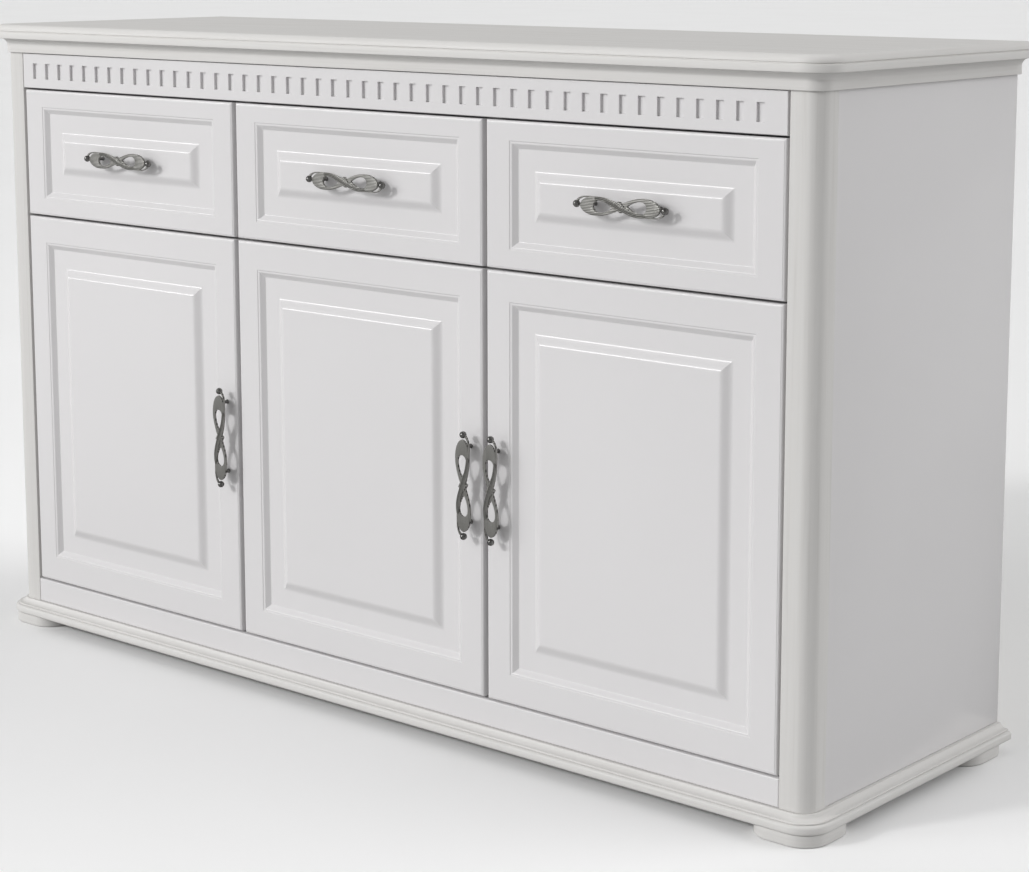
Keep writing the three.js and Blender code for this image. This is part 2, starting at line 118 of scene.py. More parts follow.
def colour_between(tree, shader, factor, stops):
    ramp = tree.nodes.new("ShaderNodeValToRGB")
    while len(ramp.color_ramp.elements) < len(stops):
        ramp.color_ramp.elements.new(0.5)
    for element, (position, colour) in zip(ramp.color_ramp.elements, stops):
        element.position = position
        element.color = (*colour, 1)
    tree.links.new(factor, ramp.inputs["Fac"])
    tree.links.new(ramp.outputs["Color"], shader.inputs["Base Color"])


def roughness_between(tree, shader, factor, low, high):
    spread = tree.nodes.new("ShaderNodeMapRange")
    spread.inputs["From Min"].default_value = 0.3
    spread.inputs["From Max"].default_value = 0.7
    spread.inputs["To Min"].default_value = low
    spread.inputs["To Max"].default_value = high
    tree.links.new(factor, spread.inputs["Value"])
    tree.links.new(spread.outputs["Result"], shader.inputs["Roughness"])


def relief(tree, shader, layers):
    """Stacks bumps: each layer is (height output, distance in metres, strength)."""
    normal = None
    for height, distance, strength in layers:
        bump = tree.nodes.new("ShaderNodeBump")
        bump.inputs["Distance"].default_value = distance
        bump.inputs["Strength"].default_value = strength
        tree.links.new(height, bump.inputs["Height"])
        if normal is not None:
            tree.links.new(normal, bump.inputs["Normal"])
        normal = bump.outputs["Normal"]
    tree.links.new(normal, shader.inputs["Normal"])


print("finish helpers ready")

# %% [markdown]
# ## The smooth white of the fronts
# The doors, drawer fronts, frieze, plinth rail and side panels are wrapped in a smooth white foil
# with a satin sheen. Under raking light it isn't dead flat: a faint orange peel from the glue
# under the foil, and a tone that drifts by a percent or two over a whole door.

# %% Smooth white foil
def smooth_white_foil():
    finish, tree, shader = new_finish("smooth_white_foil", 0.17, specular=0.7)
    vector = pattern_coordinates(tree, (1, 1, 1))
    drift = noise(tree, vector, 2.2, 2)
    colour_between(tree, shader, drift, [(0.3, (0.735, 0.723, 0.728)), (0.7, (0.758, 0.746, 0.751))])
    roughness_between(tree, shader, noise(tree, vector, 24, 2), 0.15, 0.2)
    relief(tree, shader, [(noise(tree, vector, 60, 1), 0.00004, 0.1)])
    return finish


smooth_white = smooth_white_foil()
print(smooth_white.name)

# %% [markdown]
# ## The grained white of posts and mouldings
# The top, the mouldings, the posts and the feet carry a warmer white foil printed and pressed
# with a fine wood grain. Grain runs along each piece, so the same noise is stretched in a
# different direction for a post, a moulding and the top: long along the piece, tight across it.

# %% Grained white foil
def grained_white_foil(name, stretch, tone_and_light_scale=1.0):
    finish, tree, shader = new_finish(name, 0.5, specular=0.4)
    vector = pattern_coordinates(tree, stretch)
    streaks = noise(tree, vector, 1.0, 5, 0.62)
    tones = [(0.28, (0.655, 0.642, 0.622)), (0.42, (0.702, 0.69, 0.672)), (0.62, (0.722, 0.711, 0.695))]
    # The scale darkens or lightens every stop of a copy, which paints light or shade onto the whole
    # piece.
    tones_with_painted_light = [(position, tuple(channel * tone_and_light_scale for channel in tone)) for position, tone in tones]
    colour_between(tree, shader, streaks, tones_with_painted_light)
    roughness_between(tree, shader, streaks, 0.56, 0.44)
    pores = noise(tree, vector, 2.6, 3, 0.7)
    relief(tree, shader, [(streaks, 0.0002, 0.35), (pores, 0.00008, 0.3)])
    return finish


# The upright copy is darker, partly the posts' own greyer white and partly painted shade for their shaded
# sides.
along_post = grained_white_foil("grained_white_upright_tone_and_painted_shade", (170, 170, 4), 0.94)
along_moulding = grained_white_foil("grained_white_moulding", (4, 4, 260), 1.0)
# The top's copy has its white set to how bright the top looks under the lamps: painted light.
along_top = grained_white_foil("grained_white_top_painted_light", (4, 90, 90), 0.97)
print(along_post.name, along_moulding.name, along_top.name)

# %% [markdown]
# ## Inside finishes
# Inside, a cabinet is plainer: matt melamine with a pebbled press texture on the boards, thin
# white hardboard at the back, and planed beech for the strips that the drawers run on.

# %% Melamine, hardboard and beech
def matt_melamine():
    finish, tree, shader = new_finish("matt_melamine", 0.6, specular=0.35)
    vector = pattern_coordinates(tree, (1, 1, 1))
    drift = noise(tree, vector, 3, 2)
    colour_between(tree, shader, drift, [(0.3, (0.7, 0.692, 0.678)), (0.7, (0.745, 0.738, 0.722))])
    roughness_between(tree, shader, noise(tree, vector, 60), 0.52, 0.66)
    relief(tree, shader, [(noise(tree, vector, 900, 3), 0.00012, 0.5)])
    return finish


def white_hardboard():
    finish, tree, shader = new_finish("white_hardboard", 0.75, specular=0.25)
    vector = pattern_coordinates(tree, (1, 1, 1))
    fibres = noise(tree, pattern_coordinates(tree, (240, 240, 60)), 1, 4, 0.65)
    colour_between(tree, shader, fibres, [(0.3, (0.6, 0.57, 0.52)), (0.7, (0.69, 0.665, 0.62))])
    roughness_between(tree, shader, noise(tree, vector, 45), 0.68, 0.85)
    relief(tree, shader, [(fibres, 0.0002, 0.4), (noise(tree, vector, 700), 0.0001, 0.3)])
    return finish


def planed_beech():
    finish, tree, shader = new_finish("planed_beech", 0.6, specular=0.3)
    vector = pattern_coordinates(tree, (180, 5, 180))
    grain = noise(tree, vector, 1, 5, 0.6)
    colour_between(tree, shader, grain, [(0.3, (0.4, 0.25, 0.13)), (0.7, (0.6, 0.42, 0.25))])
    flecks = noise(tree, pattern_coordinates(tree, (700, 60, 700)), 1, 2)
    relief(tree, shader, [(grain, 0.0002, 0.35), (flecks, 0.00012, 0.35)])
    return finish


melamine, hardboard, beech = matt_melamine(), white_hardboard(), planed_beech()
print(melamine.name, hardboard.name, beech.name)

# %% [markdown]
# ## Metals
# The handles are cast zinc with an antique pewter plating: grey, a little warm, rubbed along
# their length so that fine lines catch the light, and darker where the rub didn't reach. The
# lines follow the ribbon, so their pattern reads a map laid along it. The balls and stems are
# darker and smoother. Hinges and screws are bright nickel.

# %% Pewter and nickel
def rubbed_pewter():
    finish, tree, shader = new_finish("rubbed_pewter", 0.42, metallic=0.55)
    along = pattern_coordinates(tree, (1, 1, 1), "UV")
    grooves = tree.nodes.new("ShaderNodeTexWave")
    grooves.bands_direction = "Y"
    grooves.inputs["Scale"].default_value = 172
    grooves.inputs["Distortion"].default_value = 1.2
    grooves.inputs["Detail"].default_value = 2
    grooves.inputs["Detail Scale"].default_value = 0.6
    tree.links.new(along, grooves.inputs["Vector"])
    scratches = noise(tree, pattern_coordinates(tree, (40, 1500, 1), "UV"), 1, 3, 0.6)
    blend = tree.nodes.new("ShaderNodeMix")
    blend.inputs["Factor"].default_value = 0.4
    tree.links.new(grooves.outputs["Fac"], blend.inputs["A"])
    tree.links.new(scratches, blend.inputs["B"])
    rubbed = blend.outputs["Result"]
    colour_between(tree, shader, rubbed, [(0.25, (0.085, 0.083, 0.077)), (0.62, (0.34, 0.335, 0.316))])
    roughness_between(tree, shader, rubbed, 0.5, 0.34)
    relief(tree, shader, [(grooves.outputs["Fac"], 0.0003, 0.6), (scratches, 0.0001, 0.4)])
    return finish


def polished_pewter():
    finish, tree, shader = new_finish("polished_pewter", 0.28, metallic=1.0)
    shader.inputs["Specular Tint"].default_value = (0.35, 0.35, 0.35, 1)
    cloud = noise(tree, pattern_coordinates(tree, (1, 1, 1)), 240, 2)
    colour_between(tree, shader, cloud, [(0.3, (0.14, 0.138, 0.134)), (0.7, (0.24, 0.237, 0.23))])
    roughness_between(tree, shader, cloud, 0.24, 0.3)
    relief(tree, shader, [(cloud, 0.00005, 0.15)])
    return finish


def bright_nickel():
    finish, tree, shader = new_finish("bright_nickel", 0.28, metallic=1.0)
    vector = pattern_coordinates(tree, (1, 1, 1))
    cloud = noise(tree, vector, 120, 3)
    colour_between(tree, shader, cloud, [(0.3, (0.52, 0.52, 0.51)), (0.7, (0.66, 0.66, 0.65))])
    roughness_between(tree, shader, cloud, 0.22, 0.36)
    relief(tree, shader, [(noise(tree, vector, 900), 0.00004, 0.3)])
    return finish


pewter, dark_pewter = rubbed_pewter(), polished_pewter()
nickel = bright_nickel()
print(pewter.name, dark_pewter.name, nickel.name)

# %% [markdown]
# ## From outlines to solid pieces
# Almost every piece here is a skin over a row of rings: a door is one rectangle inside another,
# a moulding is one plan outline above another. One helper makes that skin and caps both ends,
# another merges what touches, and a third hands the finished mesh to its body and its finish.

# %% Helpers for meshes
def skin(name, rings):
    count = len(rings[0])
    points = [point for ring in rings for point in ring]
    faces = [tuple(reversed(range(count)))]
    for r in range(len(rings) - 1):
        for i in range(count):
            a, b = r * count + i, r * count + (i + 1) % count
            faces.append((a, b, b + count, a + count))
    faces.append(tuple((len(rings) - 1) * count + i for i in range(count)))
    mesh = bpy.data.meshes.new(name)
    mesh.from_pydata(points, [], faces)
    return mesh


def tidy_mesh(mesh, merge=0.00001, outward=False):
    work = bmesh.new()
    work.from_mesh(mesh)
    bmesh.ops.remove_doubles(work, verts=work.verts, dist=merge)
    if outward:
        bmesh.ops.recalc_face_normals(work, faces=work.faces)
    work.to_mesh(mesh)
    work.free()
    return mesh


def add_object(name, mesh):
    piece = bpy.data.objects.new(name, mesh)
    bpy.context.scene.collection.objects.link(piece)
    return piece


def keep_mitres_crisp(mesh):
    """Marks every edge that slants across the front, so that no shading is smoothed round a mitre."""
    sharp = mesh.attributes.get("sharp_edge") or mesh.attributes.new("sharp_edge", "BOOLEAN", "EDGE")
    for edge in mesh.edges:
        start, end = (mesh.vertices[i].co for i in edge.vertices)
        if min(abs(start.x - end.x), abs(start.z - end.z)) > 0.01 * mm:
            sharp.data[edge.index].value = True


def settle(piece, body, replaced=(), finish=None, crease=30, mitred=False):
    """Shades, paints and hands over a finished piece."""
    if finish is not None:
        piece.data.materials.clear()
        piece.data.materials.append(finish)
    piece.data.shade_smooth()
    piece.data.set_sharp_from_angle(angle=math.radians(crease))
    if mitred:
        keep_mitres_crisp(piece.data)
    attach(piece, body)
    if replaced:
        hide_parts(*replaced)
    return piece


def plain_copy(piece):
    """The evaluated piece as a plain mesh, without its modifiers."""
    bpy.context.view_layer.update()
    return bpy.data.meshes.new_from_object(piece.evaluated_get(bpy.context.evaluated_depsgraph_get()))


def arc(centre, radius, start, end, steps):
    """Points on a round stretch, with angles in degrees."""
    points = []
    for i in range(steps + 1):
        angle = math.radians(start + (end - start) * i / steps)
        points.append((centre[0] + radius * math.cos(angle), centre[1] + radius * math.sin(angle)))
    return points


print("mesh helpers ready")

# %% [markdown]
# ## Boards with eased edges
# No real board has a knife edge. The partitions, shelves, panels and drawer wraps keep the exact
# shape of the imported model, but each edge gets a small bevel, because that thin highlight is
# what makes a board read as a board.

# %% Eased boards
def eased_board(node, ease, finish):
    mesh = nodes[node].data.copy()
    work = bmesh.new()
    work.from_mesh(mesh)
    bmesh.ops.remove_doubles(work, verts=work.verts, dist=0.00002)
    bmesh.ops.dissolve_limit(work, angle_limit=math.radians(0.5), verts=work.verts, edges=work.edges)
    shared = [edge for edge in work.edges if len(edge.link_faces) == 2]
    corners = [edge for edge in shared if edge.calc_face_angle(0) > math.radians(30)]
    if ease:
        bmesh.ops.bevel(
            work, geom=corners, offset=ease, segments=2, profile=0.5, affect="EDGES", clamp_overlap=True
        )
    work.to_mesh(mesh)
    work.free()
    piece = add_object(node + "_eased", mesh)
    return settle(piece, body_of[node], [node], finish)


board_finish = {
    "smooth_white": smooth_white,
    "inner_white": melamine,
    "hardboard": hardboard,
    "beech": beech,
}
board_ease = {
    "smooth_white": 0.8 * mm,
    "inner_white": 0.5 * mm,
    "hardboard": 0.3 * mm,
    "beech": 0.7 * mm,
}
shaped = ("door_", "drawer_front", "frieze", "plinth")
boards = [n for n in nodes if slot_of[n] in board_finish and not n.startswith(shaped)]
for node in boards:
    eased_board(node, board_ease[slot_of[node]], board_finish[slot_of[node]])
print("eased boards:", len(boards))

# %% [markdown]
# ## Doors and drawer fronts
# Each front is one board with a routed profile: a flat frame, a fine bead, a slope down to a
# flat recess, and an S-shaped bevel up to the raised field. A router follows the edge, so every
# line of the profile is a rectangle inside the last one, and the corners meet in mitres. That
# rule makes the whole front a skin over nested rectangles.

# %% The routed profile
recess_depth, slope_angle = 6.5, 43


def front_profile(border, thickness):
    """(inset from the edge, depth behind the face) in millimetres, from the back to the field."""
    points = [(0.5, thickness), (0.15, thickness - 0.15), (0, thickness - 0.5)]
    for i in range(7):
        angle = math.radians(15 * i)
        points.append((2.6 * (1 - math.cos(angle)), 0.4 + 2.0 * (1 - math.sin(angle))))
    points += [(2.72, 0.06), (2.9, 0), (3.4, 0), (border - 0.6, 0), (border, 0)]
    points += [(border + 0.4, 0.06), (border + 1.0, 0.55)]
    points += [(border + 1.5, 0.84), (border + 2.0, 0.88), (border + 2.4, 0.82)]
    for angle in [math.radians(slope_angle * i / 7) for i in range(8)]:
        points.append((border + 2.6 + 3 * math.sin(angle), 0.8 + 3 * (1 - math.cos(angle))))
    points += [(border + 9.6, 6.2), (border + 10.1, 6.42), (border + 10.9, recess_depth)]
    points += [(border + 11.6, recess_depth), (border + 33.6, recess_depth)]
    for i in range(17):
        share = i / 16
        height = recess_depth * (1 + math.cos(math.pi * share)) / 2
        points.append((border + 34.3 + 15.9 * share, height))
    points.append((border + 50.9, 0))
    return points


def nested_front(name, low, high, border_x, border_z):
    thickness = (high.y - low.y) / mm
    across = front_profile(border_x, thickness)
    upward = front_profile(border_z, thickness)
    rings = []
    for (inset_x, depth), (inset_z, _) in zip(across, upward):
        x0, x1 = low.x + inset_x * mm, high.x - inset_x * mm
        z0, z1 = low.z + inset_z * mm, high.z - inset_z * mm
        y = low.y + depth * mm
        rings.append([(x0, y, z0), (x1, y, z0), (x1, y, z1), (x0, y, z1)])
    return skin(name, rings)


door_border, drawer_border = 36.3, 23.5
front_crease = 25
print("profile points:", len(front_profile(door_border, 18)))

# %% [markdown]
# ## Cutting the hinge bores
# A concealed hinge sits in a round bore drilled in the back of the door. Each bore is a cutter
# cylinder taken out with a Boolean modifier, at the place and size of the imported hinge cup.

# %% Drawer fronts and doors
def bore_cutters(bay):
    work = bmesh.new()
    for height in ("lower", "upper"):
        low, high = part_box(f"hinge_cup_{bay}_{height}")
        radius = (high.x - low.x) / 2 + 0.3 * mm
        depth = high.y - low.y + 1.3 * mm
        middle = Vector(((low.x + high.x) / 2, low.y - 0.3 * mm + depth / 2, (low.z + high.z) / 2))
        turn = Matrix.Translation(middle) @ Matrix.Rotation(math.pi / 2, 4, "X")
        bmesh.ops.create_cone(
            work, cap_ends=True, segments=64, radius1=radius, radius2=radius, depth=depth, matrix=turn
        )
    mesh = bpy.data.meshes.new("bores")
    work.to_mesh(mesh)
    work.free()
    return add_object("bores", mesh)


for bay in bays:
    low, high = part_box(f"drawer_front_{bay}")
    face = nested_front("drawer_face", low, high, door_border, drawer_border)
    front, hidden = add_object(f"drawer_face_{bay}", face), [f"drawer_front_{bay}"]
    settle(front, f"drawer_{bay}", hidden, smooth_white, front_crease, True)

    low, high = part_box(f"door_{bay}")
    blank = add_object("door_blank", nested_front("door_blank", low, high, door_border, door_border))
    cutters = bore_cutters(bay)
    drill = blank.modifiers.new("drill", "BOOLEAN")
    drill.object = cutters
    drill.solver = "EXACT"
    bored = plain_copy(blank)
    bpy.data.objects.remove(blank)
    bpy.data.objects.remove(cutters)
    leaf = add_object(f"door_leaf_{bay}", bored)
    settle(leaf, f"door_{bay}", [f"door_{bay}"], smooth_white, front_crease, True)
    print(bay, "door faces", len(bored.polygons))

# %% [markdown]
# ## The frieze and its row of slots
# Under the top runs a strip with a long row of milled slots, all the same size and pitch. A
# pattern like this is a job for Geometry Nodes: a line of points, a cutter on each, and one
# difference. The inputs carry the sizes, so the pitch can be changed without touching the tree.
# A fine shadow gap runs round the strip, where the real one is a separate board let in between
# the posts. The rail under the doors is the same kind of strip, without the gap.

# %% Slot tree
def group_input(tree, name, kind, value):
    item = tree.interface.new_socket(name=name, in_out="INPUT", socket_type=kind)
    item.default_value = value
    return item


def slot_tree():
    tree = bpy.data.node_groups.new("milled_slots", "GeometryNodeTree")
    tree.is_modifier = True
    tree.interface.new_socket(name="Geometry", in_out="INPUT", socket_type="NodeSocketGeometry")
    group_input(tree, "Slots", "NodeSocketInt", 47)
    group_input(tree, "First slot", "NodeSocketVector", (0, 0, 0))
    group_input(tree, "Pitch", "NodeSocketVector", (0.02745, 0, 0))
    group_input(tree, "Slot size", "NodeSocketVector", (0.0108, 0.01, 0.022))
    tree.interface.new_socket(name="Finish", in_out="INPUT", socket_type="NodeSocketMaterial")
    tree.interface.new_socket(name="Geometry", in_out="OUTPUT", socket_type="NodeSocketGeometry")
    make, link = tree.nodes.new, tree.links.new
    given, out = make("NodeGroupInput"), make("NodeGroupOutput")
    row = make("GeometryNodeMeshLine")
    row.mode = "OFFSET"
    link(given.outputs["Slots"], row.inputs["Count"])
    link(given.outputs["First slot"], row.inputs["Start Location"])
    link(given.outputs["Pitch"], row.inputs["Offset"])
    cutter = make("GeometryNodeMeshCube")
    link(given.outputs["Slot size"], cutter.inputs["Size"])
    copies = make("GeometryNodeInstanceOnPoints")
    link(row.outputs["Mesh"], copies.inputs["Points"])
    link(cutter.outputs["Mesh"], copies.inputs["Instance"])
    real = make("GeometryNodeRealizeInstances")
    link(copies.outputs["Instances"], real.inputs["Geometry"])
    milled = make("GeometryNodeMeshBoolean")
    milled.operation = "DIFFERENCE"
    milled.solver = "EXACT"
    link(given.outputs["Geometry"], milled.inputs["Mesh 1"])
    link(real.outputs["Geometry"], milled.inputs["Mesh 2"])
    whole = make("GeometryNodeRealizeInstances")
    link(milled.outputs["Mesh"], whole.inputs["Geometry"])
    paint = make("GeometryNodeSetMaterial")
    link(whole.outputs["Geometry"], paint.inputs["Geometry"])
    link(given.outputs["Finish"], paint.inputs["Material"])
    link(paint.outputs["Geometry"], out.inputs["Geometry"])
    return tree


def run_tree(piece, tree, values):
    """Applies a node tree with these inputs and returns the result as a plain mesh."""
    modifier = piece.modifiers.new(tree.name, "NODES")
    modifier.node_group = tree
    for item in tree.interface.items_tree:
        if item.item_type == "SOCKET" and item.in_out == "INPUT" and item.name in values:
            modifier[item.identifier] = values[item.name]
    mesh = plain_copy(piece)
    piece.modifiers.clear()
    return mesh


milled_slots = slot_tree()
print("tree nodes:", len(milled_slots.nodes))

# %% Frieze and plinth rail
gap_width, gap_depth = 0.9 * mm, 6 * mm
frieze_edge, rail_edge = 0.9 * mm, 1.6 * mm


def eased_strip(name, low, high, edge, gap=0.0):
    """A strip with its front edges rounded, and a fine shadow gap round it if one is asked for."""
    rings = []
    profile = [(0.4 * mm, high.y - low.y), (0, high.y - low.y - 0.4 * mm)]
    if gap:
        profile += [(0, gap_depth), (gap, gap_depth)]
    for turn in range(0, 91, 15):
        angle = math.radians(turn)
        profile.append((gap + edge * (1 - math.cos(angle)), edge * (1 - math.sin(angle))))
    for inset, depth in [*profile, (gap + edge + 0.6 * mm, 0)]:
        y = low.y + depth
        x0, x1, z0, z1 = low.x + inset, high.x - inset, low.z + inset, high.z - inset
        rings.append([(x0, y, z0), (x1, y, z0), (x1, y, z1), (x0, y, z1)])
    return skin(name, rings)


slot_width, slot_height, slot_depth = 10.8 * mm, 22 * mm, 3.6 * mm
slot_start, slot_drop = 22.7 * mm, 14.7 * mm
low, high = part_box("frieze")
strip = add_object("frieze_blank", eased_strip("frieze_blank", low, high, frieze_edge, gap_width))
first_slot = (low.x + slot_start + slot_width / 2, low.y, high.z - slot_drop - slot_height / 2)
slot_values = {
    "First slot": first_slot,
    "Slot size": (slot_width, 2 * slot_depth, slot_height),
    "Finish": smooth_white,
}
milled = run_tree(strip, milled_slots, slot_values)
bpy.data.objects.remove(strip)
slotted = add_object("slotted_frieze", milled)
settle(slotted, "carcass", ["frieze"], smooth_white, mitred=True)
low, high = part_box("plinth_rail")
rail = add_object("plinth_strip", eased_strip("plinth_strip", low, high, rail_edge))
settle(rail, "carcass", ["plinth_rail"], smooth_white, mitred=True)
print("frieze faces", len(milled.polygons))

# %% [markdown]
# ## Top, cornice and base
# The moulded boards share one plan: straight at the back, square at the rear corners and rounded
# at the front corners, concentric with the posts. Going up the moulding, only the overhang
# changes, so each board is a skin over that plan drawn at every height of its profile.

# %% The shared plan
body_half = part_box("corner_post_right")[1].x
post_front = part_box("corner_post_right")[0].y
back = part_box("side_panel_right")[1].y
post_radius = 19 * mm


def moulded_plan(overhang, z):
    x, y, radius = body_half + overhang, post_front - overhang, post_radius + overhang
    corner_left = arc((-x + radius, y + radius), radius, 180, 270, 16)
    corner_right = arc((x - radius, y + radius), radius, 270, 360, 16)
    return [(px, py, z) for px, py in [*corner_left, *corner_right, (x, back), (-x, back)]]


def moulded_board(name, profile):
    """profile is (overhang, height above the board's underside) in millimetres."""
    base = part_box(name)[0].z
    return skin(name, [moulded_plan(o * mm, base + h * mm) for o, h in profile])


def top_profile():
    """Fascia, a fine step, then a rounded upper edge."""
    fascia = [(19.6, 0), (19.9, 0.1), (20, 0.5), (20, 8.4), (19.9, 8.8), (19.6, 9.0)]
    step = [(17.3, 9.1), (17.1, 9.5), (17.1, 10.2), (17.4, 10.4)]
    return [*fascia, *step, *arc((9.4, 10.7), 9, 0, 90, 18)]


def cornice_profile():
    """A plain neck, then a cove out to the underside of the top."""
    neck = [(3.6, 0), (3.9, 0.1), (4, 0.5), (4, 9.6)]
    return [*neck, *arc((13.5, 10), 9.5, 180, 90, 14), (13.5, 20)]


print("top profile", len(top_profile()), "cornice profile", len(cornice_profile()))

# %% Top board and cornice
def paint_flat_faces(mesh, finish):
    """Gives the faces that look straight up or down a finish of their own."""
    mesh.materials.append(finish)
    for face in mesh.polygons:
        if abs(face.normal.z) > 0.9:
            face.material_index = len(mesh.materials) - 1


top = moulded_board("top_board", top_profile())
top.materials.append(along_moulding)
# The faces that look up or down take the top's copy, with its own grain and its painted light tone.
paint_flat_faces(top, along_top)
settle(add_object("top_slab", top), "carcass", ["top_board"])
cornice = moulded_board("cornice_moulding", cornice_profile())
run = add_object("cornice_run", cornice)
settle(run, "carcass", ["cornice_moulding"], along_moulding)
print("top and cornice faces", len(top.polygons), len(cornice.polygons))

# %% Base moulding
def base_profile():
    """From the underside: a thick rounded fascia, a fine quirk, a bead and a cove to the posts."""
    fascia = [(15.6, 0), (17, 0.35), (18.2, 1.3), (18.8, 2.4), (19, 3.7), (19, 8.2)]
    shoulder = [(18.75, 9.4), (18.0, 10.4), (16.9, 11.0), (15.2, 11.35)]
    quirk = [(13.5, 11.5), (13.4, 12.0)]
    bead = [(14.3, 12.2), (14.4, 12.9), (14.1, 13.5), (13.5, 13.8), (12.6, 14.05)]
    return [*fascia, *shoulder, *quirk, *bead, *arc((12, 23), 9, 270, 199.5, 12)]


base = moulded_board("base_moulding", base_profile())
settle(add_object("base_run", base), "carcass", ["base_moulding"], along_moulding)
print("base faces", len(base.polygons))

# %% [markdown]
# ## Corner posts and feet
# A post is a straight extrusion whose front outer corner is a quarter round. A foot is a thick
# pad with rounded corners in plan and a softened lower edge, so that it doesn't scratch a floor.

# %% Posts
def corner_post(side, name):
    low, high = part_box(name)
    inner, outer = (low.x, high.x) if side > 0 else (-high.x, -low.x)
    ease = 0.8 * mm
    outline = [
        *arc((inner + ease, low.y + ease), ease, 180, 270, 3),
        *arc((outer - post_radius, low.y + post_radius), post_radius, 270, 360, 20),
        *arc((outer - ease, high.y - ease), ease, 0, 90, 3),
        (inner, high.y),
    ]
    rings = [[(side * x, y, z) for x, y in outline] for z in (low.z, high.z)]
    return tidy_mesh(skin(name, rings), outward=True)


for side, hand in ((-1, "left"), (1, "right")):
    node = f"corner_post_{hand}"
    post = add_object(f"rounded_post_{hand}", corner_post(side, node))
    settle(post, "carcass", [node], along_post)
print("posts made")

# %% Feet
foot_radius, foot_edge = 34 * mm, 2.2 * mm


def foot_pad(node):
    low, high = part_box(node)
    rings = []
    turns = [math.radians(turn) for turn in range(0, 91, 15)]
    rounds = [(foot_edge * (1 - math.sin(a)), foot_edge * (1 - math.cos(a))) for a in turns]
    for shrink, rise in [*rounds, (0, high.z - low.z)]:
        radius = foot_radius - shrink
        left, right = low.x + foot_radius, high.x - foot_radius
        front, rear = low.y + foot_radius, high.y - foot_radius
        ring = [
            *arc((left, front), radius, 180, 270, 12),
            *arc((right, front), radius, 270, 360, 12),
            *arc((right, rear), radius, 0, 90, 12),
            *arc((left, rear), radius, 90, 180, 12),
        ]
        rings.append([(x, y, low.z + rise) for x, y in ring])
    return skin(node, rings)


feet = [n for n in nodes if n.startswith("foot_")]
for node in feet:
    pad = add_object(node + "_pad", foot_pad(node))
    settle(pad, "carcass", [node], along_moulding)
print("feet", len(feet))

# %% [markdown]
# ## Ribbon handles
# The handle is a cast ribbon in a figure of eight. It starts at a ball, curls over the end of a
# leaf-shaped loop, crosses the middle over a small square collar and ends the same way, so the
# second half is the first turned by half a turn. Flat outlines with holes suit a 2D Bezier curve:
# Blender fills it, thickens it and rounds its edges. The crossing strand is a separate ridged
# band on top.

# %% Handle outlines
leaf_outline = [
    (-58.5, -0.8),
    ((-57.5, -8.5), (-46, -12.3), (-35, -12.3)),
    ((-22, -12.3), (-12, -8), (2, -2.2)),
    ((2, -1), (2, 1), (2, 2.2)),
    ((-10, 7), (-24, 10.2), (-38, 10.2)),
    ((-48, 10.2), (-57.5, 6), (-58.5, -0.8)),
]
leaf_opening = [
    (-38.7, -1.5),
    ((-38.7, -6.5), (-33.5, -8.6), (-28, -8)),
    ((-22, -7.3), (-15, -4.5), (-11.3, -1.6)),
    ((-16, 2), (-23, 5.8), (-29, 5.9)),
    ((-35, 6), (-38.7, 2.8), (-38.7, -1.5)),
]
tail_outline = [
    (-65.5, 1),
    ((-64, 8), (-56, 11.4), (-40, 10.2)),
    ((-40.6, 9.7), (-41.4, 9.1), (-42, 8.6)),
    ((-55, 9.8), (-61.5, 6), (-63.2, 0.5)),
    ((-63.9, 0.7), (-64.8, 0.8), (-65.5, 1)),
]


def closed_spline(curve, outline, turned):
    """Adds a closed Bezier outline, in millimetres, with the half turn for the second side."""
    flip = -1 if turned else 1

    def place(point):
        return flip * point[0] * mm, flip * point[1] * mm, 0

    segments = outline[1:]
    spline = curve.splines.new("BEZIER")
    spline.bezier_points.add(len(segments) - 1)
    spline.use_cyclic_u = True
    starts = [outline[0]] + [segment[2] for segment in segments[:-1]]
    for i, point in enumerate(spline.bezier_points):
        point.handle_left_type = point.handle_right_type = "FREE"
        point.co = place(starts[i])
        point.handle_right = place(segments[i][0])
        point.handle_left = place(segments[i - 1][1])


def plate_from(name, outlines, thickness, edge):
    curve = bpy.data.curves.new(name, "CURVE")
    curve.dimensions = "2D"
    curve.fill_mode = "BOTH"
    curve.resolution_u = 9
    curve.extrude = thickness * mm / 2 - edge * mm
    curve.bevel_depth = edge * mm
    curve.bevel_resolution = 2
    curve.offset = -edge * mm
    for outline, turned in outlines:
        closed_spline(curve, outline, turned)
    holder = add_object(name, curve)
    mesh = plain_copy(holder)
    bpy.data.objects.remove(holder)
    return tidy_mesh(mesh)


print("outline points:", len(leaf_outline) + len(leaf_opening) + len(tail_outline))

# %% Ridged crossing strand
strand_reach, strand_sway, strand_steepness = 37, 8.1, 2.9


def strand_point(t):
    """The strand's middle line, from one loop's rim over the crossing to the other's."""
    x = -strand_reach + 2 * strand_reach * t
    turn = math.radians(min(90, max(-90, x * strand_steepness)))
    return Vector((x, -strand_sway * math.sin(turn), 0))


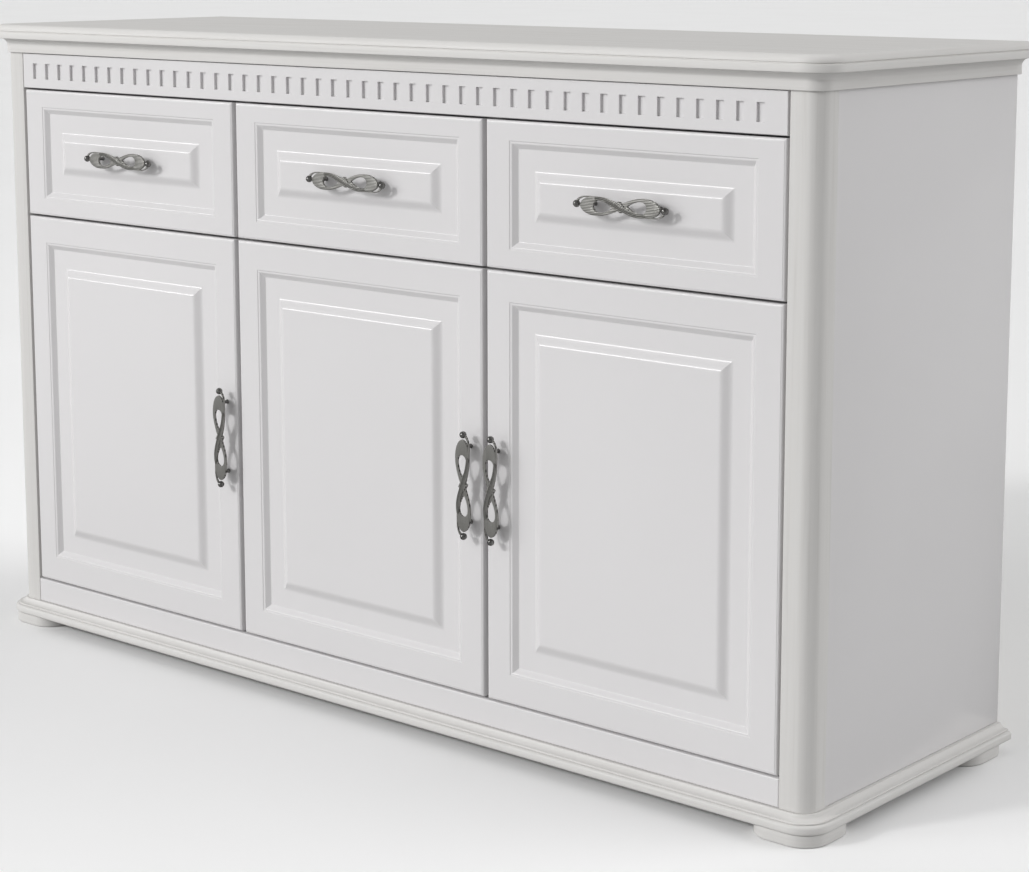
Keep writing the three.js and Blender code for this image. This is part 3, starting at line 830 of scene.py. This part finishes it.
def ridged_strand():
    """Four ribs run along the strand, which climbs over the collar and sinks into both rims."""
    steps, ribs, across_steps = 40, 4, 24
    rings = []
    for i in range(steps + 1):
        t = i / steps
        along = (strand_point(min(1, t + 0.01)) - strand_point(max(0, t - 0.01))).normalized()
        across = Vector((-along.y, along.x, 0))
        rise = math.sin(math.pi * t) ** 0.6
        half_width = 1.7 + 1.2 * rise
        ring = []
        for j in range(across_steps + 1):
            s = j / across_steps * 2 - 1
            rib = 0.5 - 0.5 * math.cos(2 * math.pi * ribs * (s + 1) / 2)
            height = 1.15 + 1.75 * rise + 0.55 * rib
            ring.append(strand_point(t) + across * (half_width * s) + Vector((0, 0, height)))
        for s in (1, -1):
            ring.append(strand_point(t) + across * (half_width * s) + Vector((0, 0, 0.6)))
        rings.append([point * mm for point in ring])
    return tidy_mesh(skin("strand", rings), outward=True)


print("strand faces", len(ridged_strand().polygons))

# %% Assembling one handle
ball_radius, ball_reach, post_reach = 4.4, 64.4, 48
collar_size, collar_edge, collar_turn = (10, 10.5, 5), 0.8, -29


def rounded_block(size, edge):
    work = bmesh.new()
    bmesh.ops.create_cube(work, size=1)
    bmesh.ops.scale(work, vec=Vector(size) * mm, verts=work.verts)
    bmesh.ops.bevel(work, geom=work.edges[:], offset=edge * mm, segments=3, profile=0.5, affect="EDGES")
    mesh = bpy.data.meshes.new("block")
    work.to_mesh(mesh)
    work.free()
    return mesh


def turned_piece(profile, sides=24):
    """A solid turned about Z from (radius, height) pairs in millimetres."""
    turns = [2 * math.pi * i / sides for i in range(sides)]
    rings = []
    for radius, height in profile:
        rings.append([(radius * mm * math.cos(a), radius * mm * math.sin(a), height * mm) for a in turns])
    return skin("turned", rings)


def ball_profile(radius):
    turns = [math.pi * (i + 0.5) / 16 for i in range(16)]
    return [(radius * math.sin(a), -radius * math.cos(a)) for a in turns]


def handle_mesh():
    """A handle lying flat: X along it, Z out of the front, the plate's middle at Z = 0."""
    plate = plate_from("plate", [(leaf_outline, False), (leaf_opening, False)], 3, 0.6)
    other_plate = plate_from("plate", [(leaf_outline, True), (leaf_opening, True)], 3, 0.6)
    tail = plate_from("tail", [(tail_outline, False)], 2.6, 0.5)
    other_tail = plate_from("tail", [(tail_outline, True)], 2.6, 0.5)
    collar = rounded_block(collar_size, collar_edge)
    collar.transform(Matrix.Rotation(math.radians(collar_turn), 4, "Z"))
    strand = ridged_strand()
    shiny = [plate, other_plate, tail, other_tail, strand, collar]
    dark = []
    for side in (-1, 1):
        ball = turned_piece(ball_profile(ball_radius))
        ball.transform(Matrix.Translation((side * ball_reach * mm, 0, 0)))
        stem = turned_piece([(3.0, -14.7), (3.0, -14.2), (2.5, -13.3), (2.3, -12.2), (2.3, -1)])
        stem.transform(Matrix.Translation((side * post_reach * mm, 0, 0)))
        dark += [ball, stem]
    work = bmesh.new()
    for index, group in enumerate((shiny, dark)):
        for mesh in group:
            before = len(work.faces)
            work.from_mesh(mesh)
            work.faces.ensure_lookup_table()
            if mesh is strand:
                strand_faces = (before, len(work.faces))
            for face in work.faces[before:]:
                face.material_index = index
    work.faces.index_update()
    for unwanted in list(work.loops.layers.uv.values()):
        work.loops.layers.uv.remove(unwanted)
    layer = work.loops.layers.uv.new("ribbon")
    for face in work.faces:
        on_strand = strand_faces[0] <= face.index < strand_faces[1]
        for loop in face.loops:
            x, y, _ = loop.vert.co
            share = (x / mm + strand_reach) / (2 * strand_reach)
            middle = strand_point(share).y * mm if on_strand else 0
            loop[layer].uv = (x, y - middle)
    mesh = bpy.data.meshes.new("handle")
    work.to_mesh(mesh)
    work.free()
    mesh.materials.append(pewter)
    mesh.materials.append(dark_pewter)
    return mesh


handle_pattern = handle_mesh()
handle_nodes = [n for n in nodes if "handle" in n]
for node in handle_nodes:
    low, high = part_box(node)
    upright = high.z - low.z > high.x - low.x
    plate_depth = low.y + ball_radius * mm
    stand = Matrix.Rotation(math.pi / 2, 4, "X")
    if upright:
        stand = Matrix.Rotation(math.pi / 2, 4, "Y") @ stand
    place = Matrix.Translation(((low.x + high.x) / 2, plate_depth, (low.z + high.z) / 2)) @ stand
    mesh = handle_pattern.copy()
    mesh.transform(place)
    settle(add_object(node + "_ribbon", mesh), body_of[node], [node], crease=40)
print("handles", len(handle_nodes), "faces each", len(handle_pattern.polygons))

# %% [markdown]
# ## Hinges
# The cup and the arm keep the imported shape, merged so that round parts shade as round. The cup
# gets the flange that real cups are screwed down by, with its two screws.

# %% Hinge metal
for node in [n for n in nodes if n.startswith(("hinge_cup", "hinge_arm"))]:
    eased_board(node, 0, nickel)
print("hinge pieces merged")

# %% [markdown]
# ## Screws, flanges and shelf pins
# Open a door and you see the fixings: two screws through each hinge flange and each mounting
# plate, the heads of the bolts that hold the handles, pins under the shelves, and a row of
# screws round the back panel. They are all one head on many points, so Geometry Nodes place
# them: the mesh that goes in is only a handful of points, one for each screw.

# %% Screw tree
def screw_head():
    """A domed head with a cross recess, standing on Z = 0."""
    sides = 16
    rings = []
    for radius, height in [(3.4, -0.4), (3.4, 0.3), (3.1, 0.75), (2.4, 1.0)]:
        rings.append([(radius, height)] * sides)
    star = [(1.7 if i % 4 == 0 else 0.6, 1.02) for i in range(sides)]
    rings += [star, [(radius * 0.8, 0.3) for radius, _ in star]]
    turns = [2 * math.pi * i / sides for i in range(sides)]
    points = []
    for ring in rings:
        turned = zip(ring, turns)
        points.append([(r * mm * math.cos(a), r * mm * math.sin(a), h * mm) for (r, h), a in turned])
    return skin("screw_head", points)


def heads_tree():
    tree = bpy.data.node_groups.new("heads_on_points", "GeometryNodeTree")
    tree.is_modifier = True
    tree.interface.new_socket(name="Geometry", in_out="INPUT", socket_type="NodeSocketGeometry")
    tree.interface.new_socket(name="Head", in_out="INPUT", socket_type="NodeSocketObject")
    group_input(tree, "Turn", "NodeSocketVector", (0, 0, 0))
    group_input(tree, "Size", "NodeSocketFloat", 1.0)
    tree.interface.new_socket(name="Finish", in_out="INPUT", socket_type="NodeSocketMaterial")
    tree.interface.new_socket(name="Geometry", in_out="OUTPUT", socket_type="NodeSocketGeometry")
    make, link = tree.nodes.new, tree.links.new
    given, out = make("NodeGroupInput"), make("NodeGroupOutput")
    head = make("GeometryNodeObjectInfo")
    link(given.outputs["Head"], head.inputs["Object"])
    copies = make("GeometryNodeInstanceOnPoints")
    link(given.outputs["Geometry"], copies.inputs["Points"])
    link(head.outputs["Geometry"], copies.inputs["Instance"])
    link(given.outputs["Turn"], copies.inputs["Rotation"])
    link(given.outputs["Size"], copies.inputs["Scale"])
    real = make("GeometryNodeRealizeInstances")
    link(copies.outputs["Instances"], real.inputs["Geometry"])
    paint = make("GeometryNodeSetMaterial")
    link(real.outputs["Geometry"], paint.inputs["Geometry"])
    link(given.outputs["Finish"], paint.inputs["Material"])
    link(paint.outputs["Geometry"], out.inputs["Geometry"])
    return tree


heads = heads_tree()
head_pattern = add_object("head_pattern", screw_head())
facing = {"back": (-math.pi / 2, 0, 0), "right": (0, math.pi / 2, 0), "left": (0, -math.pi / 2, 0)}


def place_heads(name, body, points, direction, size=1.0):
    mesh = bpy.data.meshes.new(name)
    mesh.from_pydata(points, [], [])
    holder = add_object("points", mesh)
    values = {"Head": head_pattern, "Turn": facing[direction], "Size": size, "Finish": nickel}
    placed = run_tree(holder, heads, values)
    bpy.data.objects.remove(holder)
    return settle(add_object(name, placed), body)


print("head faces", len(head_pattern.data.polygons))

# %% Fixings on the doors
flange_reach = 24


def middle_of(low, high):
    return (low + high) / 2


def flange(bay, height):
    """The oval plate that a hinge cup is screwed down by, open in the middle for the arm."""
    low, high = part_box(f"hinge_cup_{bay}_{height}")
    centre = middle_of(low, high)
    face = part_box(f"door_{bay}")[1].y
    tabs = []
    for side in (-1, 1):
        rings = []
        for y in (face - 0.1 * mm, face + 1.0 * mm):
            outline = [*arc((0, flange_reach), 6.5, 0, 180, 12), (-9.5, 15.2), (9.5, 15.2)]
            rings.append([(centre.x + x * mm, y, centre.z + side * z * mm) for x, z in outline])
        tabs.append(tidy_mesh(skin("tab", rings), outward=True))
    holes = [(centre.x, face + 0.9 * mm, centre.z + side * flange_reach * mm) for side in (-1, 1)]
    return tabs, holes


def merged(name, meshes):
    work = bmesh.new()
    for mesh in meshes:
        work.from_mesh(mesh)
    joined = bpy.data.meshes.new(name)
    work.to_mesh(joined)
    work.free()
    return joined


for bay in bays:
    tabs, points = [], []
    for height in ("lower", "upper"):
        pair, holes = flange(bay, height)
        tabs += pair
        points += holes
    flanges = add_object(f"hinge_flanges_{bay}", merged("flanges", tabs))
    settle(flanges, f"door_{bay}", finish=nickel)
    low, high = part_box(f"door_handle_{bay}")
    centre, face = middle_of(low, high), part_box(f"door_{bay}")[1].y
    points += [(centre.x, face, centre.z + side * post_reach * mm) for side in (-1, 1)]
    place_heads(f"door_screws_{bay}", f"door_{bay}", points, "back")
    low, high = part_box(f"drawer_handle_{bay}")
    centre, face = middle_of(low, high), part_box(f"drawer_front_{bay}")[1].y
    points = [(centre.x + side * post_reach * mm, face, centre.z) for side in (-1, 1)]
    place_heads(f"drawer_screws_{bay}", f"drawer_{bay}", points, "back")
print("door and drawer fixings made")

# %% Fixings on the carcass
hinge_side = {"left": "right", "middle": "right", "right": "left"}
plate_face, plate_setback, plate_reach = 2.5 * mm, 25 * mm, 15.5
for bay in bays:
    points = []
    for height in ("lower", "upper"):
        low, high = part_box(f"hinge_arm_{bay}_{height}")
        plate_x = low.x + plate_face if hinge_side[bay] == "right" else high.x - plate_face
        middle_z = middle_of(low, high).z
        for side in (-1, 1):
            points.append((plate_x, high.y - plate_setback, middle_z + side * plate_reach * mm))
    place_heads(f"plate_screws_{bay}", "carcass", points, hinge_side[bay])

low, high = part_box("back_panel")
inset = 9 * mm
panel_face = high.y - 0.3 * mm
back_points = []
for i in range(9):
    x = low.x + inset + (high.x - low.x - 2 * inset) * i / 8
    back_points += [(x, panel_face, low.z + inset), (x, panel_face, high.z - inset)]
for i in range(1, 5):
    z = low.z + inset + (high.z - low.z - 2 * inset) * i / 5
    back_points += [(low.x + inset, panel_face, z), (high.x - inset, panel_face, z)]
place_heads("back_screws", "carcass", back_points, "back", 0.9)

pin_setback = 40 * mm
pins = []
for name in ("left", "right"):
    low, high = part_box(f"shelf_{name}")
    for x, lean in ((low.x, 1), (high.x, -1)):
        for y in (low.y + pin_setback, high.y - pin_setback):
            pin = turned_piece([(1.2, 0), (2.5, 0.4), (2.5, 8), (2.1, 8.6)], 16)
            pin.transform(Matrix.Rotation(lean * math.pi / 2, 4, "Y"))
            pin.transform(Matrix.Translation((x - lean * 0.3 * mm, y, low.z - 2.6 * mm)))
            pins.append(tidy_mesh(pin, outward=True))
settle(add_object("shelf_pins", merged("pins", pins)), "carcass", finish=nickel)
bpy.data.objects.remove(head_pattern)
print("back screws", len(back_points), "shelf pins", len(pins))

# %% [markdown]
# ## Floor and light
# A pale floor runs out past the edge of the view. The key light comes from the front left, high
# enough to throw the handles' shadows down and to the right. It is two lamps in one place: a
# narrow one for the crisp part of each shadow, and a wide one for its soft edge. A long strip
# lamp stands at the left for the gloss on the bevels, and two more wide lamps lift the side and
# the top. The wide lamps are hidden from reflections, because their discs would show in the foil.
# Light Path lets the floor and the sky look nearly white to the eye and still throw much less
# light than that. A white room as bright as it looks would wash out every moulding.

# %% Floor
def seen_or_not(tree, unseen, seen):
    """A number with one value for what the eye sees directly and another for the light it throws."""
    path = tree.nodes.new("ShaderNodeLightPath")
    choice = tree.nodes.new("ShaderNodeMapRange")
    choice.inputs["To Min"].default_value = unseen
    choice.inputs["To Max"].default_value = seen
    tree.links.new(path.outputs["Is Camera Ray"], choice.inputs["Value"])
    return choice.outputs["Result"]


def pale_floor():
    finish, tree, shader = new_finish("pale_floor", 0.7, specular=0.2)
    vector = pattern_coordinates(tree, (1, 1, 1))
    cloud = noise(tree, vector, 1.2, 2)
    colour_between(tree, shader, cloud, [(0.3, (0.98, 0.98, 0.98)), (0.7, (1, 1, 1))])
    painted = shader.inputs["Base Color"].links[0].from_socket
    dimmed = tree.nodes.new("ShaderNodeVectorMath")
    dimmed.operation = "SCALE"
    tree.links.new(painted, dimmed.inputs[0])
    tree.links.new(seen_or_not(tree, unseen=0.5, seen=0.98), dimmed.inputs["Scale"])
    tree.links.new(dimmed.outputs["Vector"], shader.inputs["Base Color"])
    relief(tree, shader, [(noise(tree, vector, 220, 3), 0.0003, 0.15)])
    return finish


floor_mesh = bpy.data.meshes.new("floor")
reach = 300
floor_corners = [(-reach, -reach, 0), (reach, -reach, 0), (reach, reach, 0), (-reach, reach, 0)]
floor_mesh.from_pydata(floor_corners, [], [(0, 1, 2, 3)])
floor_mesh.materials.append(pale_floor())
floor = add_object("floor", floor_mesh)
print("floor", floor_mesh.vertices[2].co[:])

# %% Lights
def aimed(name, kind, source, target, energy):
    light = bpy.data.objects.new(name, bpy.data.lights.new(name, kind))
    bpy.context.scene.collection.objects.link(light)
    light.location = source
    light.rotation_euler = (Vector(target) - Vector(source)).to_track_quat("-Z", "Y").to_euler()
    light.data.energy = energy
    return light


def sun(name, source, energy, disc, reflected=True):
    """A far lamp aimed at the cabinet's foot, whose disc is this many degrees wide."""
    light = aimed(name, "SUN", source, (0, 0, 0), energy)
    light.data.angle = math.radians(disc)
    light.visible_glossy = reflected


key_place = (-2.05, -4, 2.1)
sun("key", key_place, 0.95, disc=8)
sun("wide_key", key_place, 0.72, disc=50, reflected=False)
strip_light = aimed("left_strip", "AREA", (-3.15, -3.4, 1.87), (-3.15, -0.2, 1.0), 50)
strip_light.data.shape = "RECTANGLE"
strip_light.data.size = 3.4
strip_light.data.size_y = 0.3
sun("right_fill", (3, 2.2, 1.8), 1.38, disc=50, reflected=False)
sun("overhead", (0.3, 1.4, 4), 0.36, disc=60, reflected=False)
world = bpy.data.worlds.new("studio")
bpy.context.scene.world = world
world.use_nodes = True
sky = world.node_tree.nodes["Background"]
sky.inputs["Color"].default_value = (1, 1, 1, 1)
brightness = seen_or_not(world.node_tree, unseen=0.32, seen=0.92)
world.node_tree.links.new(brightness, sky.inputs["Strength"])
bpy.context.scene.view_settings.view_transform = "Standard"
